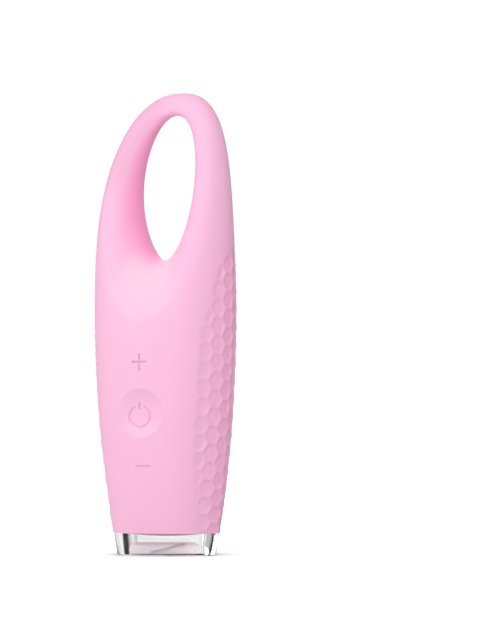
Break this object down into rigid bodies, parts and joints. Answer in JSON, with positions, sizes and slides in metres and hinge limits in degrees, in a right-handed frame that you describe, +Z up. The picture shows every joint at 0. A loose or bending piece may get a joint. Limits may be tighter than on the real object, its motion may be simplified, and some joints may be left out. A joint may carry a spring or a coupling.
{
  "type": "eye massager",
  "caption": "Upright hand-held eye massager: soft silicone body with an open loop at the top, round press keys on the front, hexagonal side grips and a clear foot.",
  "frame": {"origin": "centre of the foot's underside", "axes": "+Z up through the loop, -Y the side with the keys, X across the width"},
  "size_m": [0.0424, 0.0293, 0.1307],
  "materials": {
    "silicone": "soft matte silicone",
    "clear_acrylic": "polished clear acrylic",
    "shell_abs": "moulded",
    "pink_abs": "moulded",
    "nylon": "moulded",
    "zinc_steel": "plated",
    "bearing_bronze": "turned",
    "copper_winding": "wound",
    "seal_rubber": "moulded",
    "board_laminate": "solder mask",
    "black_resin": "moulded",
    "capacitor_ceramic": "fired",
    "lamp_lens": "clear lens",
    "cell_can": "shrink wrapped",
    "lead_sheath": "extruded"
  },
  "bodies": {
    "casing": {"base_plug": "pink_abs", "base_seal": "seal_rubber", "battery_cell": "cell_can", "battery_foam": "seal_rubber", "battery_leads": "lead_sheath", "battery_socket": "nylon", "battery_tabs": "zinc_steel", "board_screws": "zinc_steel", "capacitors": "capacitor_ceramic", "charge_jack": "black_resin", "charger_chip": "black_resin", "clear_base": "clear_acrylic", "controller_chip": "black_resin", "foot_insert": "shell_abs", "front_shell": "shell_abs", "indicator_lamp": "lamp_lens", "inductor": "black_resin", "jack_leads": "lead_sheath", "jack_seal": "seal_rubber", "left_motor_boot": "seal_rubber", "left_motor_bush": "bearing_bronze", "left_motor_can": "zinc_steel", "left_motor_cap": "nylon", "left_motor_leads": "lead_sheath", "left_motor_socket": "nylon", "loop_core": "nylon", "main_board": "board_laminate", "minus_switch_case": "black_resin", "motor_tray": "shell_abs", "plus_switch_case": "black_resin", "power_switch_case": "black_resin", "rear_shell": "shell_abs", "right_motor_boot": "seal_rubber", "right_motor_bush": "bearing_bronze", "right_motor_can": "zinc_steel", "right_motor_cap": "nylon", "right_motor_leads": "lead_sheath", "right_motor_socket": "nylon", "shell_screws": "zinc_steel", "silicone_sleeve": "silicone"},
    "plus_button": {"plus_key": "silicone", "plus_plunger": "shell_abs", "plus_switch_stem": "black_resin"},
    "power_button": {"power_key": "silicone", "power_plunger": "shell_abs", "power_switch_stem": "black_resin"},
    "minus_button": {"minus_key": "silicone", "minus_plunger": "shell_abs", "minus_switch_stem": "black_resin"},
    "left_spinner": {"left_motor_shaft": "zinc_steel", "left_motor_rotor": "copper_winding", "left_weight": "zinc_steel"},
    "right_spinner": {"right_motor_shaft": "zinc_steel", "right_motor_rotor": "copper_winding", "right_weight": "zinc_steel"}
  },
  "joints": [
    {"name": "plus_press", "type": "slide", "parent": "casing", "child": "plus_button", "axis": [0, 1, 0], "range_m": [0, 0.0004], "stiffness_N_per_m": 400},
    {"name": "power_press", "type": "slide", "parent": "casing", "child": "power_button", "axis": [0, 1, 0], "range_m": [0, 0.0004], "stiffness_N_per_m": 400},
    {"name": "minus_press", "type": "slide", "parent": "casing", "child": "minus_button", "axis": [0, 1, 0], "range_m": [0, 0.0004], "stiffness_N_per_m": 400},
    {"name": "left_spin", "type": "hinge", "parent": "casing", "child": "left_spinner", "pos_m": [-0.008, 0.0028, 0.06], "axis": [0, 0, 1], "continuous": true},
    {"name": "right_spin", "type": "hinge", "parent": "casing", "child": "right_spinner", "pos_m": [0.008, 0.0028, 0.06], "axis": [0, 0, 1], "continuous": true}
  ]
}
